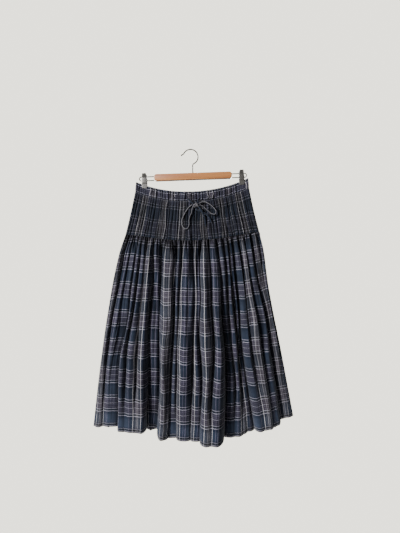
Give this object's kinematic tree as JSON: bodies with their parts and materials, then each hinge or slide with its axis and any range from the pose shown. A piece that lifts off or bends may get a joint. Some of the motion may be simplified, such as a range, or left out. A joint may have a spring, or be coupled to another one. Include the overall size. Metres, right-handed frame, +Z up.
{
  "type": "gathered tartan skirt on a clip hanger",
  "caption": "Gathered midi skirt in dark tartan with an elasticated waistband, a drawstring bow and a hip yoke, held by its waistband in a small wooden clip hanger.",
  "frame": {"origin": "inside of the top of the hanger's hook, where it hangs on a rail or nail", "axes": "+Z up, -Y out of the front of the skirt (the bow's side), +X to the right seen from the front"},
  "size_m": [0.5985, 0.1466, 0.8515],
  "materials": {
    "tartan": "soft gathered cotton, woven tartan check in navy, blue-grey, charcoal and plum with pale lines",
    "drawstring": "narrow tube of the skirt's own dark cloth, matte",
    "beech": "clear satin varnish on pale straight-grained wood",
    "chrome": "bright plated steel wire and strip"
  },
  "bodies": {
    "root": {"skirt_front": "tartan", "skirt_back": "tartan", "yoke_front": "tartan", "yoke_back": "tartan", "waistband_front": "tartan", "waistband_back": "tartan", "bow_knot": "drawstring", "bow_loop_left": "drawstring", "bow_loop_right": "drawstring", "bow_tail_front": "drawstring", "bow_tail_under": "drawstring", "hanger_hook": "chrome", "hanger_bar": "beech", "rail_left": "chrome", "rail_right": "chrome", "clip_left_front": "chrome", "clip_left_back": "chrome", "clip_left_barrel": "chrome", "clip_right_front": "chrome", "clip_right_back": "chrome", "clip_right_barrel": "chrome"}
  },
  "joints": []
}
